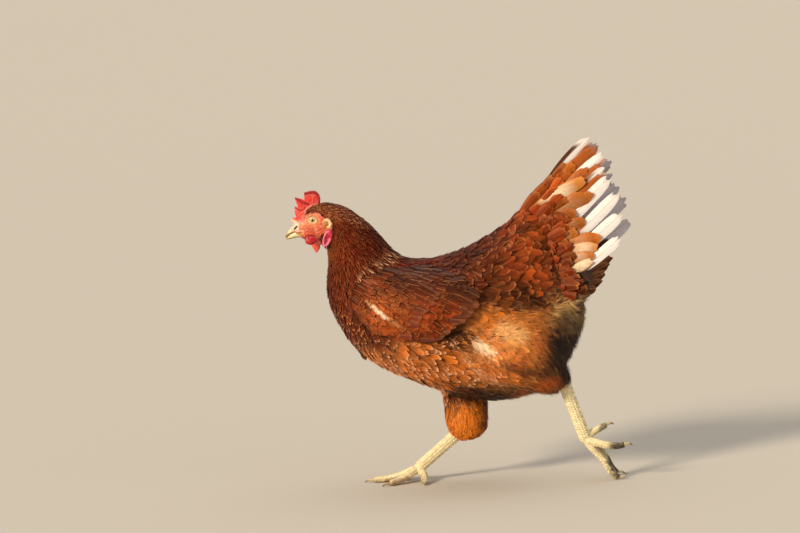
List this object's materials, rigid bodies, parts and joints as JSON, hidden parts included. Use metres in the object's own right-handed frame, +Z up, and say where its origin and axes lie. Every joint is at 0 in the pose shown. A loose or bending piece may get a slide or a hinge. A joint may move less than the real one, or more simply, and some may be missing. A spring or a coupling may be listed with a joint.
{
  "type": "laying hen",
  "caption": "Life-size still model of a brown laying hen in mid stride, tail raised, on its front foot and the toe tips of its rear foot.",
  "frame": {"origin": "on the floor, below the middle of the hen's length and width", "axes": "+Z up, the hen faces -X, its left side faces -Y"},
  "size_m": [0.427, 0.1611, 0.4309],
  "materials": {
    "face_skin": "fine warty bare skin, slightly moist sheen",
    "comb_skin": "smooth folded bare skin with a soft sheen",
    "lobe_skin": "smooth bare skin, crimson with a pink rim",
    "neck_feathers": "narrow glossy hackle feathers, mahogany with pale shafts",
    "body_feathers": "overlapping rounded contour feathers, red brown",
    "wing_feathers": "layered coverts and flight feathers, red brown with paler edges",
    "tail_feathers": "long vanes, orange brown with white ends",
    "thigh_feathers": "loose soft fluff, bright orange brown",
    "beak_horn": "polished horn, pale straw",
    "claw_horn": "worn horn with soil at the tips",
    "leg_scales": "overlapping dry scales, pale cream yellow",
    "eye": "wet clear cornea over a yellow iris"
  },
  "bodies": {
    "root": {"head": "face_skin", "neck": "neck_feathers", "torso": "body_feathers", "tail": "tail_feathers", "wing_left": "wing_feathers", "wing_right": "wing_feathers", "thigh_left": "thigh_feathers", "thigh_right": "thigh_feathers", "beak_upper": "beak_horn", "beak_lower": "beak_horn", "comb": "comb_skin", "wattle_left": "comb_skin", "wattle_right": "comb_skin", "earlobe_left": "lobe_skin", "earlobe_right": "lobe_skin", "eye_left": "eye", "eye_right": "eye", "shank_left": "leg_scales", "shank_right": "leg_scales", "toe_left_middle": "leg_scales", "claw_left_middle": "claw_horn", "toe_left_outer": "leg_scales", "claw_left_outer": "claw_horn", "toe_left_inner": "leg_scales", "claw_left_inner": "claw_horn", "toe_left_hallux": "leg_scales", "claw_left_hallux": "claw_horn", "toe_right_middle": "leg_scales", "claw_right_middle": "claw_horn", "toe_right_outer": "leg_scales", "claw_right_outer": "claw_horn", "toe_right_inner": "leg_scales", "claw_right_inner": "claw_horn", "toe_right_hallux": "leg_scales", "claw_right_hallux": "claw_horn"}
  },
  "joints": []
}
